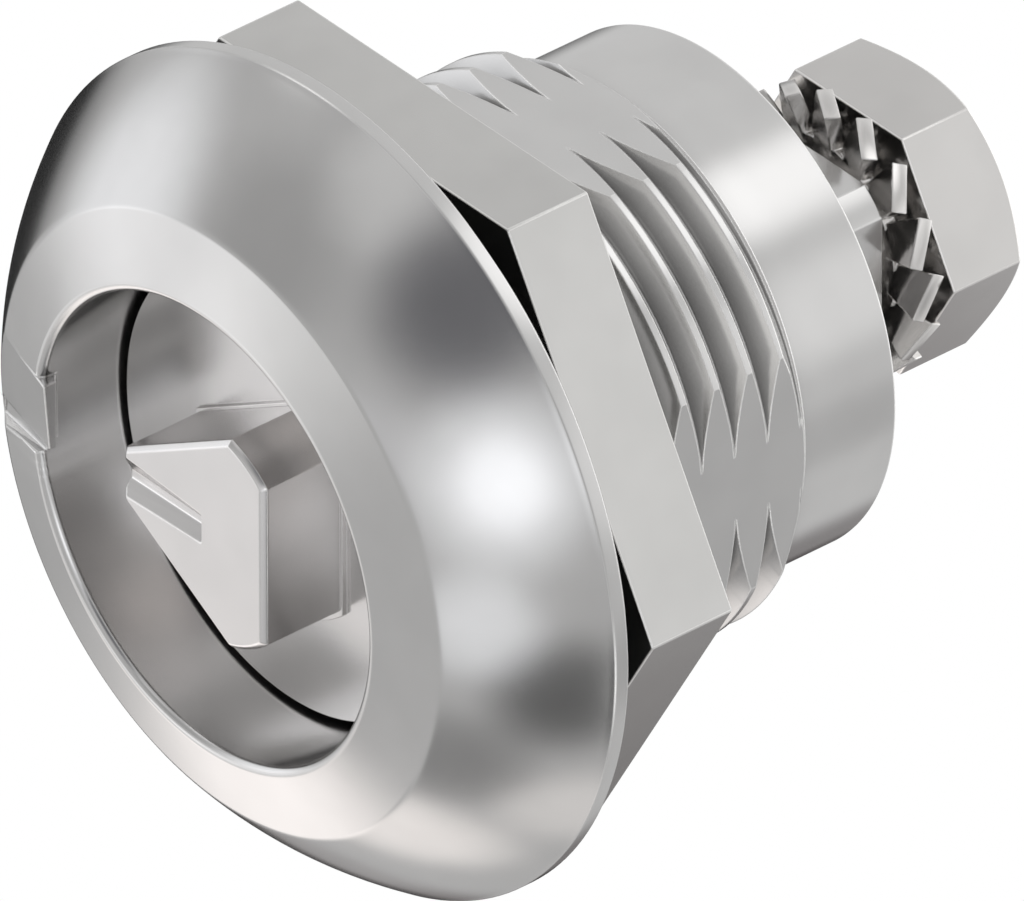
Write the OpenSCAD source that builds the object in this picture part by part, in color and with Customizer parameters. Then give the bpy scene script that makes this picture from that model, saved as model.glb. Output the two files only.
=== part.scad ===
// Compression latch with a triangular key, for a round panel cut-out with flats.
// Turning the key a quarter turn pushes the shaft rearwards and frees the panel, and the
// guide sleeve, shaft and key can then turn together by another quarter.
// The latch axis is Y: the flange is in front at -Y, the shaft leaves at +Y, and Z is up.
// The origin is the centre of the flange's back face, where the panel lies.
// Inside the modules the axis is the local z, and angles are counted from +X as seen from
// the rear, clockwise as seen by someone who turns the key.

/* [Flange] */
// Outer diameter of the flange
flange_d = 32; // [30:0.5:36]
// Height of the flange from the panel to its front edge
flange_h = 5.95; // [5.8:0.05:7]
// Thickness of the flange's outer rim
rim_t = 0.72; // [0.5:0.02:1]
// Rounding of the rim's front edge
rim_round = 0.15; // [0.05:0.05:0.25]
// Diameter of the crease between the bell and the front ring
crease_d = 23.7; // [22.5:0.1:25]
// Slope of the front ring in degrees
ring_slope = 16.4; // [8:0.2:18]
// How far the bell bulges out between the rim and the crease
bell_bulge = 0.25; // [0.1:0.05:0.5]

/* [Key recess] */
// Diameter of the recess round the key
recess_d = 17.8; // [17.4:0.1:18.2]
// Depth of the recess from the flange's front edge to the disc
recess_depth = 3.8; // [3:0.1:4.2]
// Rounding of the recess's mouth
mouth_round = 0.3; // [0.1:0.05:0.5]
// Width of the position mark on the front ring
mark_w = 2.9; // [2:0.1:4]
// How far the mark's inner edge stands into the recess
mark_proud = 0.6; // [0.2:0.05:0.7]
// Depth of the mark's sloping face at its lower end
mark_depth = 0.25; // [0.1:0.05:0.4]

/* [Key] */
// Distance from the axis to each side of the triangle
key_side = 3.11; // [2.6:0.01:3.4]
// Diameter on which the triangle's corners are turned
key_corner_d = 9.16; // [8.4:0.02:9.8]
// Height of the triangle above the disc
key_h = 3.66; // [2.5:0.02:3.9]
// Bevel on the triangle's front edges
key_bevel = 0.2; // [0.1:0.05:0.4]
// How far the plinth under the triangle stands out
plinth_w = 0.2; // [0.1:0.05:0.3]
// Thickness of the plinth under the triangle
plinth_t = 0.2; // [0.1:0.05:0.3]
// Width of the groove in the triangle's face, at the corner
key_mark_w = 1.75; // [1:0.05:2]
// Depth of the groove in the triangle's face
key_mark_depth = 0.5; // [0.3:0.05:0.8]
// Thickness of the disc that carries the triangle
disc_t = 2.5; // [2:0.1:3.5]
// Gap between the disc and the recess wall
disc_gap = 0.35; // [0.2:0.05:0.5]

/* [Barrel] */
// Outer diameter of the thread
thread_d = 22; // [21.6:0.1:23]
// Pitch of the thread
thread_pitch = 1.5; // [1:0.25:2]
// Width across the barrel's flats
flats_w = 20; // [19.6:0.1:20.6]
// Length of the threaded part behind the flange
thread_len = 13.2; // [10:0.1:14]
// Wall of the smooth rear end
rear_wall = 1.52; // [1.3:0.01:1.7]
// Bevel on the edge of the smooth rear end
rear_bevel = 0.12; // [0.05:0.01:0.3]

/* [Hexagon nut] */
// Width across the nut's flats
nut_w = 27; // [26:0.5:32]
// Thickness of the nut
nut_t = 3.65; // [2.5:0.05:5]
// Distance from the panel seat to the nut
nut_y = 1.38; // [1:0.02:6]
// Radial gap between the nut's bore and the thread
nut_gap = 0.05; // [0.02:0.01:0.1]
// Bevel at both ends of the nut's bore
nut_bevel = 0.4; // [0.2:0.1:0.8]

/* [Shaft] */
// Diameter of the shaft
shaft_d = 10.1; // [9.6:0.1:10.4]
// Width across the square end of the shaft
square_w = 8; // [7:0.1:8.6]
// Length of the square end
square_len = 4.58; // [3.5:0.01:8]
// How far the square starts inside the housing
square_inset = 0.2; // [0.1:0.1:1]
// Length of the shaft in front of the cross pin's axis
shaft_nose = 2; // [1.8:0.1:2.4]
// Travel of the shaft over a quarter turn of the key
travel = 4; // [3:0.25:6]

/* [Mechanism] */
// Running gap between turning or sliding pieces
run_gap = 0.08; // [0.05:0.01:0.1]
// End gap between pieces that turn face to face
end_gap = 0.15; // [0.05:0.05:0.2]
// Wall of the driver's skirt
skirt_wall = 1.45; // [1.2:0.05:1.6]
// How much thicker the driver's journal is than its skirt, in radius
journal_step = 0.3; // [0.2:0.05:0.5]
// Thickness of the housing's collar round the journal
collar_t = 2.1; // [1.8:0.1:3]
// Thickness of the snap ring on the driver
snap_t = 0.75; // [0.5:0.05:1]
// Depth of the snap ring's groove in the journal
snap_groove = 0.55; // [0.4:0.05:0.7]
// Thickness of the thrust washer
thrust_t = 0.45; // [0.3:0.05:1]
// Wall of the guide sleeve
sleeve_wall = 1.62; // [1.4:0.02:1.8]
// Distance from the guide sleeve's front end to the cross pin's axis
sleeve_lead = 2.95; // [2.5:0.05:4]
// Wall behind the slots of the guide sleeve
sleeve_tail = 1; // [0.8:0.1:2]
// Diameter of the cross pin
pin_d = 2.5; // [2:0.1:3]
// Gap between the cross pin and the sides of its slots
pin_gap = 0.1; // [0.06:0.01:0.12]
// Swing of the guide sleeve in degrees
swing = 90; // [45:5:90]
// Width of a stop lug in degrees
lug_angle = 30; // [20:1:40]
// Height of a stop lug
lug_h = 1; // [0.6:0.1:1.2]

/* [Spring] */
// Diameter of the spring's wire
wire_d = 0.7; // [0.5:0.05:0.8]
// Gap between the spring and the driver's bore
spring_gap = 0.6; // [0.3:0.05:1]
// Number of turns of the spring
spring_turns = 4; // [3:0.5:4.5]

/* [Rear closure] */
// Thickness of the rear bush
bush_t = 2.4; // [2.3:0.1:4]
// Thickness of the retaining ring behind the bush
ring_t = 1; // [0.8:0.1:1.2]
// Depth of the retaining ring's groove in the housing
ring_groove = 0.5; // [0.3:0.05:0.6]
// Width of the retaining ring at its widest
ring_w = 1.5; // [1.2:0.05:1.7]
// Housing wall behind the retaining ring
ring_land = 0.45; // [0.4:0.05:1]

/* [Lock washer] */
// Diameter over the washer's teeth
lock_d = 10.9; // [10:0.1:11.4]
// Diameter of the washer's hole
lock_bore_d = 6.4; // [6.2:0.1:6.6]
// Thickness of the washer's sheet
lock_t = 0.6; // [0.4:0.05:0.7]
// Width of a tooth at its end
lock_tooth_w = 1.85; // [1.4:0.05:2]
// Twist of a tooth from its root to its end, in degrees
lock_twist = 32; // [20:1:38]
// Space between the shaft's end and the bolt's head, which the washer fills
lock_h = 1.79; // [1.7:0.01:2.2]
// Number of teeth
lock_teeth = 16; // [12:1:18]

/* [Bolt] */
// Width across the bolt's head
bolt_w = 10; // [9:0.5:11]
// Height of the bolt's head
bolt_head_h = 4; // [3:0.1:5]
// Diameter of the bolt's thread
bolt_d = 6; // [5:0.5:6]
// Length of the bolt under its head
bolt_len = 12; // [8:0.5:13]
// Height of the head's flats at the corners
bolt_corner_h = 3.07; // [2.2:0.01:3.5]
// Radial gap between the bolt and its hole
bolt_gap = 0.03; // [0.02:0.01:0.08]

/* [Seals] */
// Section of the O-ring on the driver
driver_seal_d = 1; // [0.8:0.05:1.1]
// Section of the O-ring round the shaft
shaft_seal_d = 0.86; // [0.7:0.02:0.9]
// Gap between a seal and the face that it runs on
seal_gap = 0.02; // [0.01:0.01:0.04]
// Width of the flat seal in the flange's back
flange_seal_w = 2.8; // [2:0.1:3]
// Depth of the flat seal's groove
flange_seal_depth = 0.9; // [0.6:0.1:1.2]
// How far the flat seal stands out of its groove
flange_seal_proud = 0.25; // [0.1:0.05:0.4]

/* [Hidden] */

$fn = 96;
// Overshoot of cutting tools past the faces that they cut
cut = 1;

// Radii, from the shaft outwards
shaft_r = shaft_d / 2;
driver_bore_r = shaft_r + run_gap;
skirt_r = driver_bore_r + skirt_wall;
journal_r = skirt_r + journal_step;
collar_r = journal_r + run_gap;
sleeve_bore_r = skirt_r + run_gap;
sleeve_r = sleeve_bore_r + sleeve_wall;
guide_r = sleeve_r + run_gap;
rear_r = guide_r + rear_wall;
recess_r = recess_d / 2;
disc_r = recess_r - disc_gap;
thread_r = thread_d / 2;
ring_groove_r = guide_r + ring_groove;
snap_groove_r = journal_r - snap_groove;
pin_r = pin_d / 2;
slot_r = pin_r + pin_gap;

// Places along the axis, from the front to the rear
z_front = -flange_h;
z_disc = z_front + recess_depth;
z_key = z_disc - key_h;
z_disc_back = z_disc + disc_t;
z_collar = z_disc_back + end_gap;
z_collar_back = z_collar + collar_t;
z_snap = z_collar_back + end_gap;
z_thrust = z_snap + snap_t + end_gap / 3;
z_sleeve = z_thrust + thrust_t + end_gap / 3;
z_pin = z_sleeve + sleeve_lead;
z_sleeve_end = z_pin + travel + slot_r + sleeve_tail;
z_skirt_end = z_sleeve_end - 2 * end_gap;
z_bush = z_sleeve_end + end_gap;
z_bush_end = z_bush + bush_t;
z_ring = z_bush_end + end_gap / 3;
z_ring_end = z_ring + ring_t;
z_end = z_ring_end + ring_land;
z_shaft = z_pin - shaft_nose;
z_square = z_end - square_inset;
z_shaft_end = z_square + square_len;
z_bolt = z_shaft_end + lock_h;

// Stands a local z axis along +Y
module axial() {
    rotate([-90, 0, 0]) children();
}

// Points of an arc about a centre, from one angle to another
function arc(c, r, a0, a1, n) = [
    for (i = [0 : n]) let (a = a0 + (a1 - a0) * i / n) c + r * [cos(a), sin(a)]
];

// Points of a shallow arc between two points, bulging to the right of the way from p to q
function bulge(p, q, h, n) = [
    for (i = [0 : n])
        let (u = i / n, d = q - p, side = [d[1], -d[0]] / norm(d))
        p + u * d + 4 * h * u * (1 - u) * side
];

module tube(r0, r1, z0, z1) {
    translate([0, 0, z0]) difference() {
        cylinder(r = r1, h = z1 - z0);
        translate([0, 0, -cut]) cylinder(r = r0, h = z1 - z0 + 2 * cut);
    }
}

module rod(r, z0, z1) {
    translate([0, 0, z0]) cylinder(r = r, h = z1 - z0);
}

// A solid sector of a circle in the plane, from angle a0 to a1, less than half a turn
module sector(r, a0, a1) {
    far = r / cos((a1 - a0) / 2);
    mid = (a0 + a1) / 2;
    intersection() {
        circle(r = r);
        polygon([
            [0, 0], 2 * far * [cos(a0), sin(a0)], 4 * far * [cos(mid), sin(mid)],
            2 * far * [cos(a1), sin(a1)]
        ]);
    }
}

// Housing

mouth = [recess_r + mouth_round, z_front + mouth_round];
mouth_edge = mouth + mouth_round * [sin(ring_slope), -cos(ring_slope)];
crease_r = crease_d / 2;
crease = [crease_r, mouth_edge[1] + (crease_r - mouth_edge[0]) * tan(ring_slope)];
rim = [flange_d / 2 - rim_round, rim_round - rim_t];

// Section of the housing, from the mouth of the recess outwards and back through the bore
module housing_section() {
    polygon(concat(
        arc(mouth, mouth_round, -180, ring_slope - 90, 4),
        bulge(crease, rim + rim_round * [cos(45), -sin(45)], bell_bulge, 8),
        arc(rim, rim_round, -30, 0, 2),
        [
            [flange_d / 2, 0], [thread_r, 0],
            [thread_r, thread_len - thread_r + rear_r], [rear_r, thread_len],
            [rear_r, z_end - rear_bevel], [rear_r - rear_bevel, z_end], [guide_r, z_end],
            [guide_r, z_ring_end], [ring_groove_r, z_ring_end],
            [ring_groove_r, z_ring], [guide_r, z_ring],
            [guide_r, z_collar_back], [collar_r, z_collar_back],
            [collar_r, z_collar], [recess_r, z_collar]
        ]
    ));
}

// Section of one thread groove: straight flanks and a round root
groove_root_r = thread_r - 0.613 * thread_pitch;
groove_round = 2 * cos(30) * (7 / 16 * thread_pitch - 0.613 * thread_pitch * tan(30));

module groove_section() {
    over = 0.3;
    half_w = 7 / 16 * thread_pitch + over * tan(30);
    polygon(concat(
        [[thread_r + over, half_w]],
        arc([groove_root_r + groove_round, 0], groove_round, 120, 240, 4),
        [[thread_r + over, -half_w]]
    ));
}

// Height of the groove's centre at angle 0, before the first whole turn
thread_phase = 0.9;

// The thread shows only at the four corners between the flats. There each turn is an arc of
// a ring, tilted by the thread's lead and moved along by its share of the pitch.
module thread_grooves() {
    lead = atan(thread_pitch / (PI * (thread_r + groove_root_r)));
    reach = 40;
    for (corner = [-135 : 90 : 135]) {
        z0 = thread_phase + thread_pitch * corner / 360;
        turns = floor((thread_len - 0.4 - z0) / thread_pitch);
        for (turn = [1 : turns]) {
            translate([0, 0, z0 + turn * thread_pitch]) rotate([0, 0, corner])
                rotate([lead, 0, 0]) rotate([0, 0, -reach])
                    rotate_extrude(angle = 2 * reach) groove_section();
        }
    }
}

// Four flats that stop the barrel turning in its cut-out
module barrel_flats() {
    for (side = [0 : 90 : 270]) {
        rotate([0, 0, side]) translate([flats_w / 2, -thread_r, 0])
            cube([thread_r, 2 * thread_r, thread_len]);
    }
}

// The position mark: a face that starts level with the front ring, sinks towards its lower end
// and stands a little into the recess as a thin lip
mark_top = -1.8;
mark_tilt = atan(mark_depth / mark_w);
mark_lip_t = 0.35;
mark_lip_taper = 0.75;
// Groove beside the mark: its angle below the axis, its depth, and its widths at the top and
// at the floor, each at the recess and at the crease
mark_groove_angle = 7.8;
mark_groove_depth = 0.45;
mark_groove_top = [0.5, 1.15];
mark_groove_floor = [0.25, 0.55];

// Height of the front ring's face at a radius
function ring_z(r) = crease[1] + (r - crease_r) * tan(ring_slope);

// Lip of the mark that stands into the recess, before its face is cut
module mark_lip() {
    inner = mark_proud - recess_r;
    root = -mouth[0];
    back = z_front + mark_lip_t;
    lip_w = mark_w - 0.1;
    translate([0, mark_top + lip_w, 0]) rotate([90, 0, 0]) linear_extrude(lip_w) polygon([
        [root, z_front - mark_lip_t], [inner, z_front - mark_lip_t], [inner, back],
        [-recess_r, back + mark_lip_taper], [root, back + mark_lip_taper]
    ]);
}

// Sloping face of the mark, which ends inside the groove
module mark_face() {
    far = crease_r - recess_r + cut;
    past = 0.15;
    translate([-recess_r, mark_top, ring_z(norm([recess_r, mark_top]))])
        rotate([mark_tilt, ring_slope, 0]) translate([-far, -cut, -2 * cut])
            cube([far + 2 * cut, mark_w + cut + past, 2 * cut]);
}

// One end of the groove's cutter, at a radius on the front ring
module mark_groove_end(r, top, floor) {
    over = mark_groove_depth;
    slice = 0.01;
    translate([r, 0, ring_z(r)]) rotate([0, -90, 0]) linear_extrude(slice) polygon([
        [-over, top - floor / 2], [mark_groove_depth, floor / 2],
        [mark_groove_depth, -floor / 2], [-over, floor / 2 - top]
    ]);
}

module mark_groove() {
    rotate([0, 0, 180 - mark_groove_angle]) hull() {
        mark_groove_end(recess_r - cut, mark_groove_top[0], mark_groove_floor[0]);
        mark_groove_end(crease_r + cut / 2, mark_groove_top[1], mark_groove_floor[1]);
    }
}

seal_in_r = thread_r + 0.6;
seal_out_r = seal_in_r + flange_seal_w;

module housing() {
    color("#bdbcba") axial() difference() {
        union() {
            rotate_extrude($fn = 80) housing_section();
            mark_lip();
        }
        barrel_flats();
        thread_grooves();
        mark_face();
        mark_groove();
        tube(seal_in_r, seal_out_r, -flange_seal_depth, cut);
    }
}

// Nut on the barrel

module hexagon(w) {
    circle(r = w / 2 / cos(30), $fn = 6);
}

module hex_nut() {
    bore_r = thread_r + nut_gap;
    color("#bcbbb9") axial() translate([0, 0, nut_y]) difference() {
        linear_extrude(nut_t) hexagon(nut_w);
        rotate_extrude() polygon([
            [0, -cut], [bore_r + nut_bevel + cut, -cut], [bore_r, nut_bevel],
            [bore_r, nut_t - nut_bevel], [bore_r + nut_bevel + cut, nut_t + cut], [0, nut_t + cut]
        ]);
    }
}

module flange_seal() {
    color("#1d1d1d") axial()
        tube(seal_in_r, seal_out_r, -flange_seal_depth, flange_seal_proud);
}

// Driver: the key, its disc and the skirt with the helical slots

driver_seal_c = collar_r - seal_gap - driver_seal_d / 2;
driver_seal_z = (z_collar + z_collar_back) / 2;

module key_section(side, corner_r) {
    intersection() {
        circle(r = corner_r);
        circle(r = 2 * side, $fn = 3);
    }
}

module key_prism(side, corner_r, z0, z1) {
    translate([0, 0, z0]) rotate([0, 0, 180]) linear_extrude(z1 - z0)
        key_section(side, corner_r);
}

// Groove that runs from one corner of the triangle to its middle, wider at its mouth
module key_mark() {
    corner_r = key_corner_d / 2;
    inner_end = -0.2;
    slice = 0.01;
    hull() {
        translate([-corner_r - slice, -key_mark_w / 2, z_key - slice])
            cube([slice, key_mark_w, slice]);
        translate([inner_end, -key_mark_w / 3, z_key - slice])
            cube([slice, key_mark_w * 0.7, slice]);
        translate([-corner_r - slice, -key_mark_w / 5, z_key + key_mark_depth])
            cube([slice, key_mark_w * 0.4, slice]);
        translate([inner_end, -key_mark_w / 5, z_key + key_mark_depth])
            cube([slice, key_mark_w * 0.4, slice]);
    }
}

module key() {
    corner_r = key_corner_d / 2;
    slice = 0.01;
    difference() {
        union() {
            key_prism(key_side, corner_r, z_key + key_bevel, z_disc + slice);
            hull($fn = 32) {
                key_prism(key_side - key_bevel, corner_r - key_bevel, z_key, z_key + slice);
                key_prism(key_side, corner_r, z_key + key_bevel, z_key + key_bevel + slice);
            }
            key_prism(key_side + plinth_w, corner_r + plinth_w, z_disc - plinth_t, z_disc + slice);
        }
        key_mark();
    }
}

// Section of the disc, journal and skirt
module driver_section() {
    groove_r = driver_seal_c - driver_seal_d / 2;
    groove_half = 0.55 * driver_seal_d;
    edge = 0.1;
    polygon([
        [0, z_disc], [disc_r - edge, z_disc], [disc_r, z_disc + edge], [disc_r, z_disc_back],
        [journal_r, z_disc_back], [journal_r, driver_seal_z - groove_half],
        [groove_r, driver_seal_z - groove_half], [groove_r, driver_seal_z + groove_half],
        [journal_r, driver_seal_z + groove_half], [journal_r, z_snap],
        [snap_groove_r, z_snap], [snap_groove_r, z_snap + snap_t], [skirt_r, z_snap + snap_t],
        [skirt_r, z_skirt_end], [driver_bore_r, z_skirt_end], [driver_bore_r, z_collar],
        [0, z_collar]
    ]);
}

// Path of the cross pin in the skirt: one quarter turn over the shaft's travel, both sides
module helical_slots() {
    step = 6;
    for (turn = [0 : step : 90]) {
        rotate([0, 0, turn]) translate([0, 0, z_pin + travel * turn / 90])
            rotate([0, 90, 0]) cylinder(r = slot_r, h = 2 * (skirt_r + cut), center = true);
    }
}

module driver() {
    color("#b5b4b2") axial() {
        difference() {
            rotate_extrude() driver_section();
            helical_slots();
        }
        key();
    }
}

module driver_seal() {
    color("#1d1d1d") axial() translate([0, 0, driver_seal_z])
        rotate_extrude() translate([driver_seal_c, 0]) circle(r = driver_seal_d / 2, $fn = 32);
}

// Open ring that snaps into the journal's groove
module driver_ring() {
    opening = 40;
    color("#8f8f90") axial() difference() {
        tube(snap_groove_r, sleeve_r - 0.3, z_snap, z_snap + snap_t);
        translate([0, 0, z_snap - cut]) linear_extrude(snap_t + 2 * cut)
            sector(sleeve_r, 90 - opening / 2, 90 + opening / 2);
    }
}

module thrust_washer() {
    color("#8f8f90") axial()
        tube(sleeve_bore_r, sleeve_r - 0.1, z_thrust, z_thrust + thrust_t);
}

// Guide sleeve: straight slots for the cross pin and two lugs that limit its turn

// Angle of the first lug's middle at rest
lug_middle = -45;

module straight_slots() {
    translate([0, 0, z_pin]) rotate([0, 90, 0]) linear_extrude(2 * (sleeve_r + cut), center = true) {
        circle(r = slot_r, $fn = 48);
        translate([-travel, 0]) circle(r = slot_r, $fn = 48);
        translate([-travel, -slot_r]) square([travel, 2 * slot_r]);
    }
}

module guide_sleeve() {
    color("#a9a8a5") axial() {
        difference() {
            tube(sleeve_bore_r, sleeve_r, z_sleeve, z_sleeve_end);
            straight_slots();
        }
        for (side = [0, 180]) {
            translate([0, 0, z_sleeve_end]) linear_extrude(lug_h) difference() {
                sector(
                    sleeve_r, lug_middle - lug_angle / 2 + side, lug_middle + lug_angle / 2 + side
                );
                circle(r = sleeve_bore_r);
            }
        }
    }
}

// Shaft with its square end

fit_gap = 0.01;
bolt_hole_r = bolt_d / 2 + bolt_gap;
bolt_hole_end = z_bolt - bolt_len - 0.5;

module shaft() {
    color("#b9b8b6") axial() difference() {
        union() {
            rod(shaft_r, z_shaft, z_square);
            intersection() {
                rod(shaft_r, z_square, z_shaft_end);
                translate([-square_w / 2, -square_w / 2, z_square])
                    cube([square_w, square_w, z_shaft_end - z_square]);
            }
        }
        rod(bolt_hole_r, bolt_hole_end, z_shaft_end + cut);
        translate([0, 0, z_pin]) rotate([0, 90, 0])
            cylinder(r = pin_r + fit_gap, h = 2 * (shaft_r + cut), center = true);
    }
}

module cross_pin() {
    half = sleeve_r - 0.15;
    edge = 0.2;
    color("#9c9b99") axial() translate([0, 0, z_pin]) rotate([0, 90, 0]) rotate_extrude() polygon([
        [0, -half], [pin_r - edge, -half], [pin_r, edge - half],
        [pin_r, half - edge], [pin_r - edge, half], [0, half]
    ]);
}

// Compression spring with closed ends

spring_z0 = z_collar + wire_d / 2;
spring_z1 = z_shaft - wire_d / 2;
spring_r = driver_bore_r - spring_gap - wire_d / 2;

// Height of the wire's centre at a turn: half a turn at each end lies flat
function spring_z(turn) =
    let (u = min(max((turn - 0.5) / (spring_turns - 1), 0), 1))
    spring_z0 + (spring_z1 - spring_z0) * u;

module spring() {
    sides = 8;
    per_turn = 20;
    rings = spring_turns * per_turn;
    points = [
        for (i = [0 : rings], j = [0 : sides - 1])
            let (
                a = 360 * i / per_turn, b = 360 * j / sides,
                r = spring_r + wire_d / 2 * cos(b)
            )
            [r * cos(a), r * sin(a), spring_z(i / per_turn) + wire_d / 2 * sin(b)]
    ];
    walls = [
        for (i = [0 : rings - 1], j = [0 : sides - 1])
            let (k = (j + 1) % sides, m = i * sides, n = m + sides)
            [m + j, m + k, n + k, n + j]
    ];
    ends = [
        [for (j = [sides - 1 : -1 : 0]) j],
        [for (j = [0 : sides - 1]) rings * sides + j]
    ];
    color("#8a8a8c") axial() polyhedron(points, concat(walls, ends), convexity = 8);
}

// Rear closure

shaft_seal_c = shaft_r + seal_gap + shaft_seal_d / 2;
shaft_seal_z = z_bush_end - 0.3 - shaft_seal_d * 0.55;

module rear_bush() {
    groove_half = 0.55 * shaft_seal_d;
    play = 0.5;
    color("#a5a4a1") axial() difference() {
        tube(shaft_r + run_gap, guide_r - fit_gap, z_bush, z_bush_end);
        tube(
            shaft_r, shaft_seal_c + shaft_seal_d / 2,
            shaft_seal_z - groove_half, shaft_seal_z + groove_half
        );
        for (side = [0, 180]) {
            translate([0, 0, z_bush - cut]) linear_extrude(lug_h + cut) difference() {
                sector(
                    guide_r + cut, lug_middle - lug_angle / 2 - swing - play + side,
                    lug_middle + lug_angle / 2 + play + side
                );
                circle(r = sleeve_bore_r - run_gap);
            }
        }
    }
}

// Retaining ring with two eyelets, wider opposite its opening
module rear_ring() {
    offset_c = 0.25;
    eyelet_r = 0.9;
    eyelet_angle = 13;
    opening = 12;
    middle = 90;
    color("#8f8f90") axial() translate([0, 0, z_ring]) linear_extrude(ring_t) difference() {
        union() {
            difference() {
                circle(r = ring_groove_r);
                translate([0, offset_c]) circle(r = guide_r - ring_w + offset_c);
            }
            for (side = [-1, 1]) {
                rotate([0, 0, middle + side * eyelet_angle])
                    translate([guide_r - ring_w + eyelet_r / 2, 0]) circle(r = eyelet_r, $fn = 32);
            }
        }
        sector(ring_groove_r + cut, middle - opening / 2, middle + opening / 2);
        for (side = [-1, 1]) {
            rotate([0, 0, middle + side * eyelet_angle])
                translate([guide_r - ring_w + eyelet_r / 2, 0]) circle(r = eyelet_r / 2, $fn = 24);
        }
    }
}

module shaft_seal() {
    color("#1d1d1d") axial() translate([0, 0, shaft_seal_z])
        rotate_extrude() translate([shaft_seal_c, 0]) circle(r = shaft_seal_d / 2, $fn = 32);
}

// Washer and bolt that clamp a cam on the square

lock_root_r = lock_d * 0.36;

// The four corners of a tooth's section at a radius
function tooth_section(r, w, twist) = [
    for (corner = [[-1, -1], [1, -1], [1, 1], [-1, 1]])
        let (u = corner[0] * w / 2, v = corner[1] * lock_t / 2)
        [r, u * cos(twist) - v * sin(twist), u * sin(twist) + v * cos(twist)]
];

module lock_tooth() {
    root_w = 2 * lock_root_r * sin(180 / lock_teeth) * 0.85;
    root_twist = lock_twist / 4;
    start_r = lock_root_r - lock_t / 2;
    steps = 4;
    points = [
        for (i = [0 : steps])
            let (u = i / steps)
            each tooth_section(
                start_r + (lock_d / 2 - start_r) * u,
                root_w + (lock_tooth_w - root_w) * u,
                -root_twist - (lock_twist - root_twist) * u
            )
    ];
    walls = [
        for (i = [0 : steps - 1], j = [0 : 3])
            let (m = 4 * i, k = (j + 1) % 4)
            each [[m + j, m + 4 + k, m + k], [m + j, m + 4 + j, m + 4 + k]]
    ];
    polyhedron(points, concat([[0, 1, 2, 3]], walls, [[
        for (j = [3 : -1 : 0]) 4 * steps + j
    ]]));
}

module lock_washer() {
    color("#8d8c8b") axial() translate([0, 0, z_shaft_end + lock_h / 2]) {
        tube(lock_bore_d / 2, lock_root_r, -lock_t / 2, lock_t / 2);
        for (tooth = [0 : lock_teeth - 1]) {
            rotate([0, 0, tooth * 360 / lock_teeth]) lock_tooth();
        }
    }
}

module hex_bolt() {
    corner_r = bolt_w / 2 / cos(30);
    z_top = z_bolt + bolt_head_h;
    z_corner = z_bolt + bolt_corner_h;
    slope = tan(30);
    face_r = corner_r - (z_top - z_corner) / slope;
    color("#bcbbb9") axial() {
        intersection() {
            translate([0, 0, z_bolt]) linear_extrude(bolt_head_h) hexagon(bolt_w);
            rotate_extrude() polygon([
                [0, z_bolt], [corner_r + cut, z_bolt], [corner_r + cut, z_corner - cut * slope],
                [face_r, z_top], [0, z_top]
            ]);
        }
        rod(bolt_d / 2, z_bolt - bolt_len, z_bolt);
    }
}

housing();
hex_nut();
flange_seal();
driver();
driver_seal();
driver_ring();
thrust_washer();
guide_sleeve();
shaft();
cross_pin();
spring();
rear_bush();
rear_ring();
shaft_seal();
lock_washer();
hex_bolt();
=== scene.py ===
import math

import bmesh
import bpy
from bpy.props import FloatProperty, FloatVectorProperty, IntProperty, PointerProperty
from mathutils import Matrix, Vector


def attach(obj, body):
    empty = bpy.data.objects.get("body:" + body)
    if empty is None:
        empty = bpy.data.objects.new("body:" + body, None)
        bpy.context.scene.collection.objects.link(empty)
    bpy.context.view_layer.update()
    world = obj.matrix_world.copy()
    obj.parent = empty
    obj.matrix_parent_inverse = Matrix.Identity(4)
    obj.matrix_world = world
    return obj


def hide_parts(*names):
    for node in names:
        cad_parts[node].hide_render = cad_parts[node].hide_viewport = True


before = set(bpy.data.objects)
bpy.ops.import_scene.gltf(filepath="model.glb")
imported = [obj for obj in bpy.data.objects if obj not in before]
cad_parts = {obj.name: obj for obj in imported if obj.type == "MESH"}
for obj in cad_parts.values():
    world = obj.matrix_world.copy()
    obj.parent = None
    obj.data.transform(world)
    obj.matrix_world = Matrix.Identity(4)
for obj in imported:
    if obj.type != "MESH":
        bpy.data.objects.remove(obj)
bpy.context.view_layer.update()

bl_info = {
    "name": "Compression latch",
    "version": (1, 0, 0),
    "blender": (4, 2, 0),
    "location": "View3D > Sidebar > Latch",
    "description": "Panel latch with a triangular key, a threaded barrel and a square shaft end",
    "category": "Object",
}

MM = 0.001


def colour(hex_code):
    """A colour written as in a paint chart, turned into the linear values that the shader needs."""
    parts = [int(hex_code[i : i + 2], 16) / 255 for i in (1, 3, 5)]
    return tuple(p / 12.92 if p <= 0.04045 else ((p + 0.055) / 1.055) ** 2.4 for p in parts)


def length(name, description, metres):
    return FloatProperty(name=name, description=description, default=metres, unit="LENGTH")


def tint(name, description, hex_code):
    return FloatVectorProperty(
        name=name, description=description, subtype="COLOR", size=3, default=colour(hex_code)
    )


class LatchSizes(bpy.types.PropertyGroup):
    sides: IntProperty(
        name="Sides", description="Flat steps round each turned piece", default=192, min=96, max=360
    )
    pitch: length("Thread pitch", "Pitch of the barrel's thread", 1.5 * MM)
    thread_r: length("Thread radius", "Outer radius of the thread", 11 * MM)
    flat: length("Flat", "Distance from the axis to each flat of the barrel", 10 * MM)
    nut_w: length("Nut width", "Width across the nut's flats", 27 * MM)
    bolt_w: length("Bolt width", "Width across the bolt head's flats", 10 * MM)
    teeth: IntProperty(
        name="Teeth", description="Number of teeth on the lock washer", default=16, min=12, max=18
    )
    tooth_twist: FloatProperty(
        name="Tooth twist", description="Twist of a tooth at its end", default=math.radians(32),
        subtype="ANGLE",
    )


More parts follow.
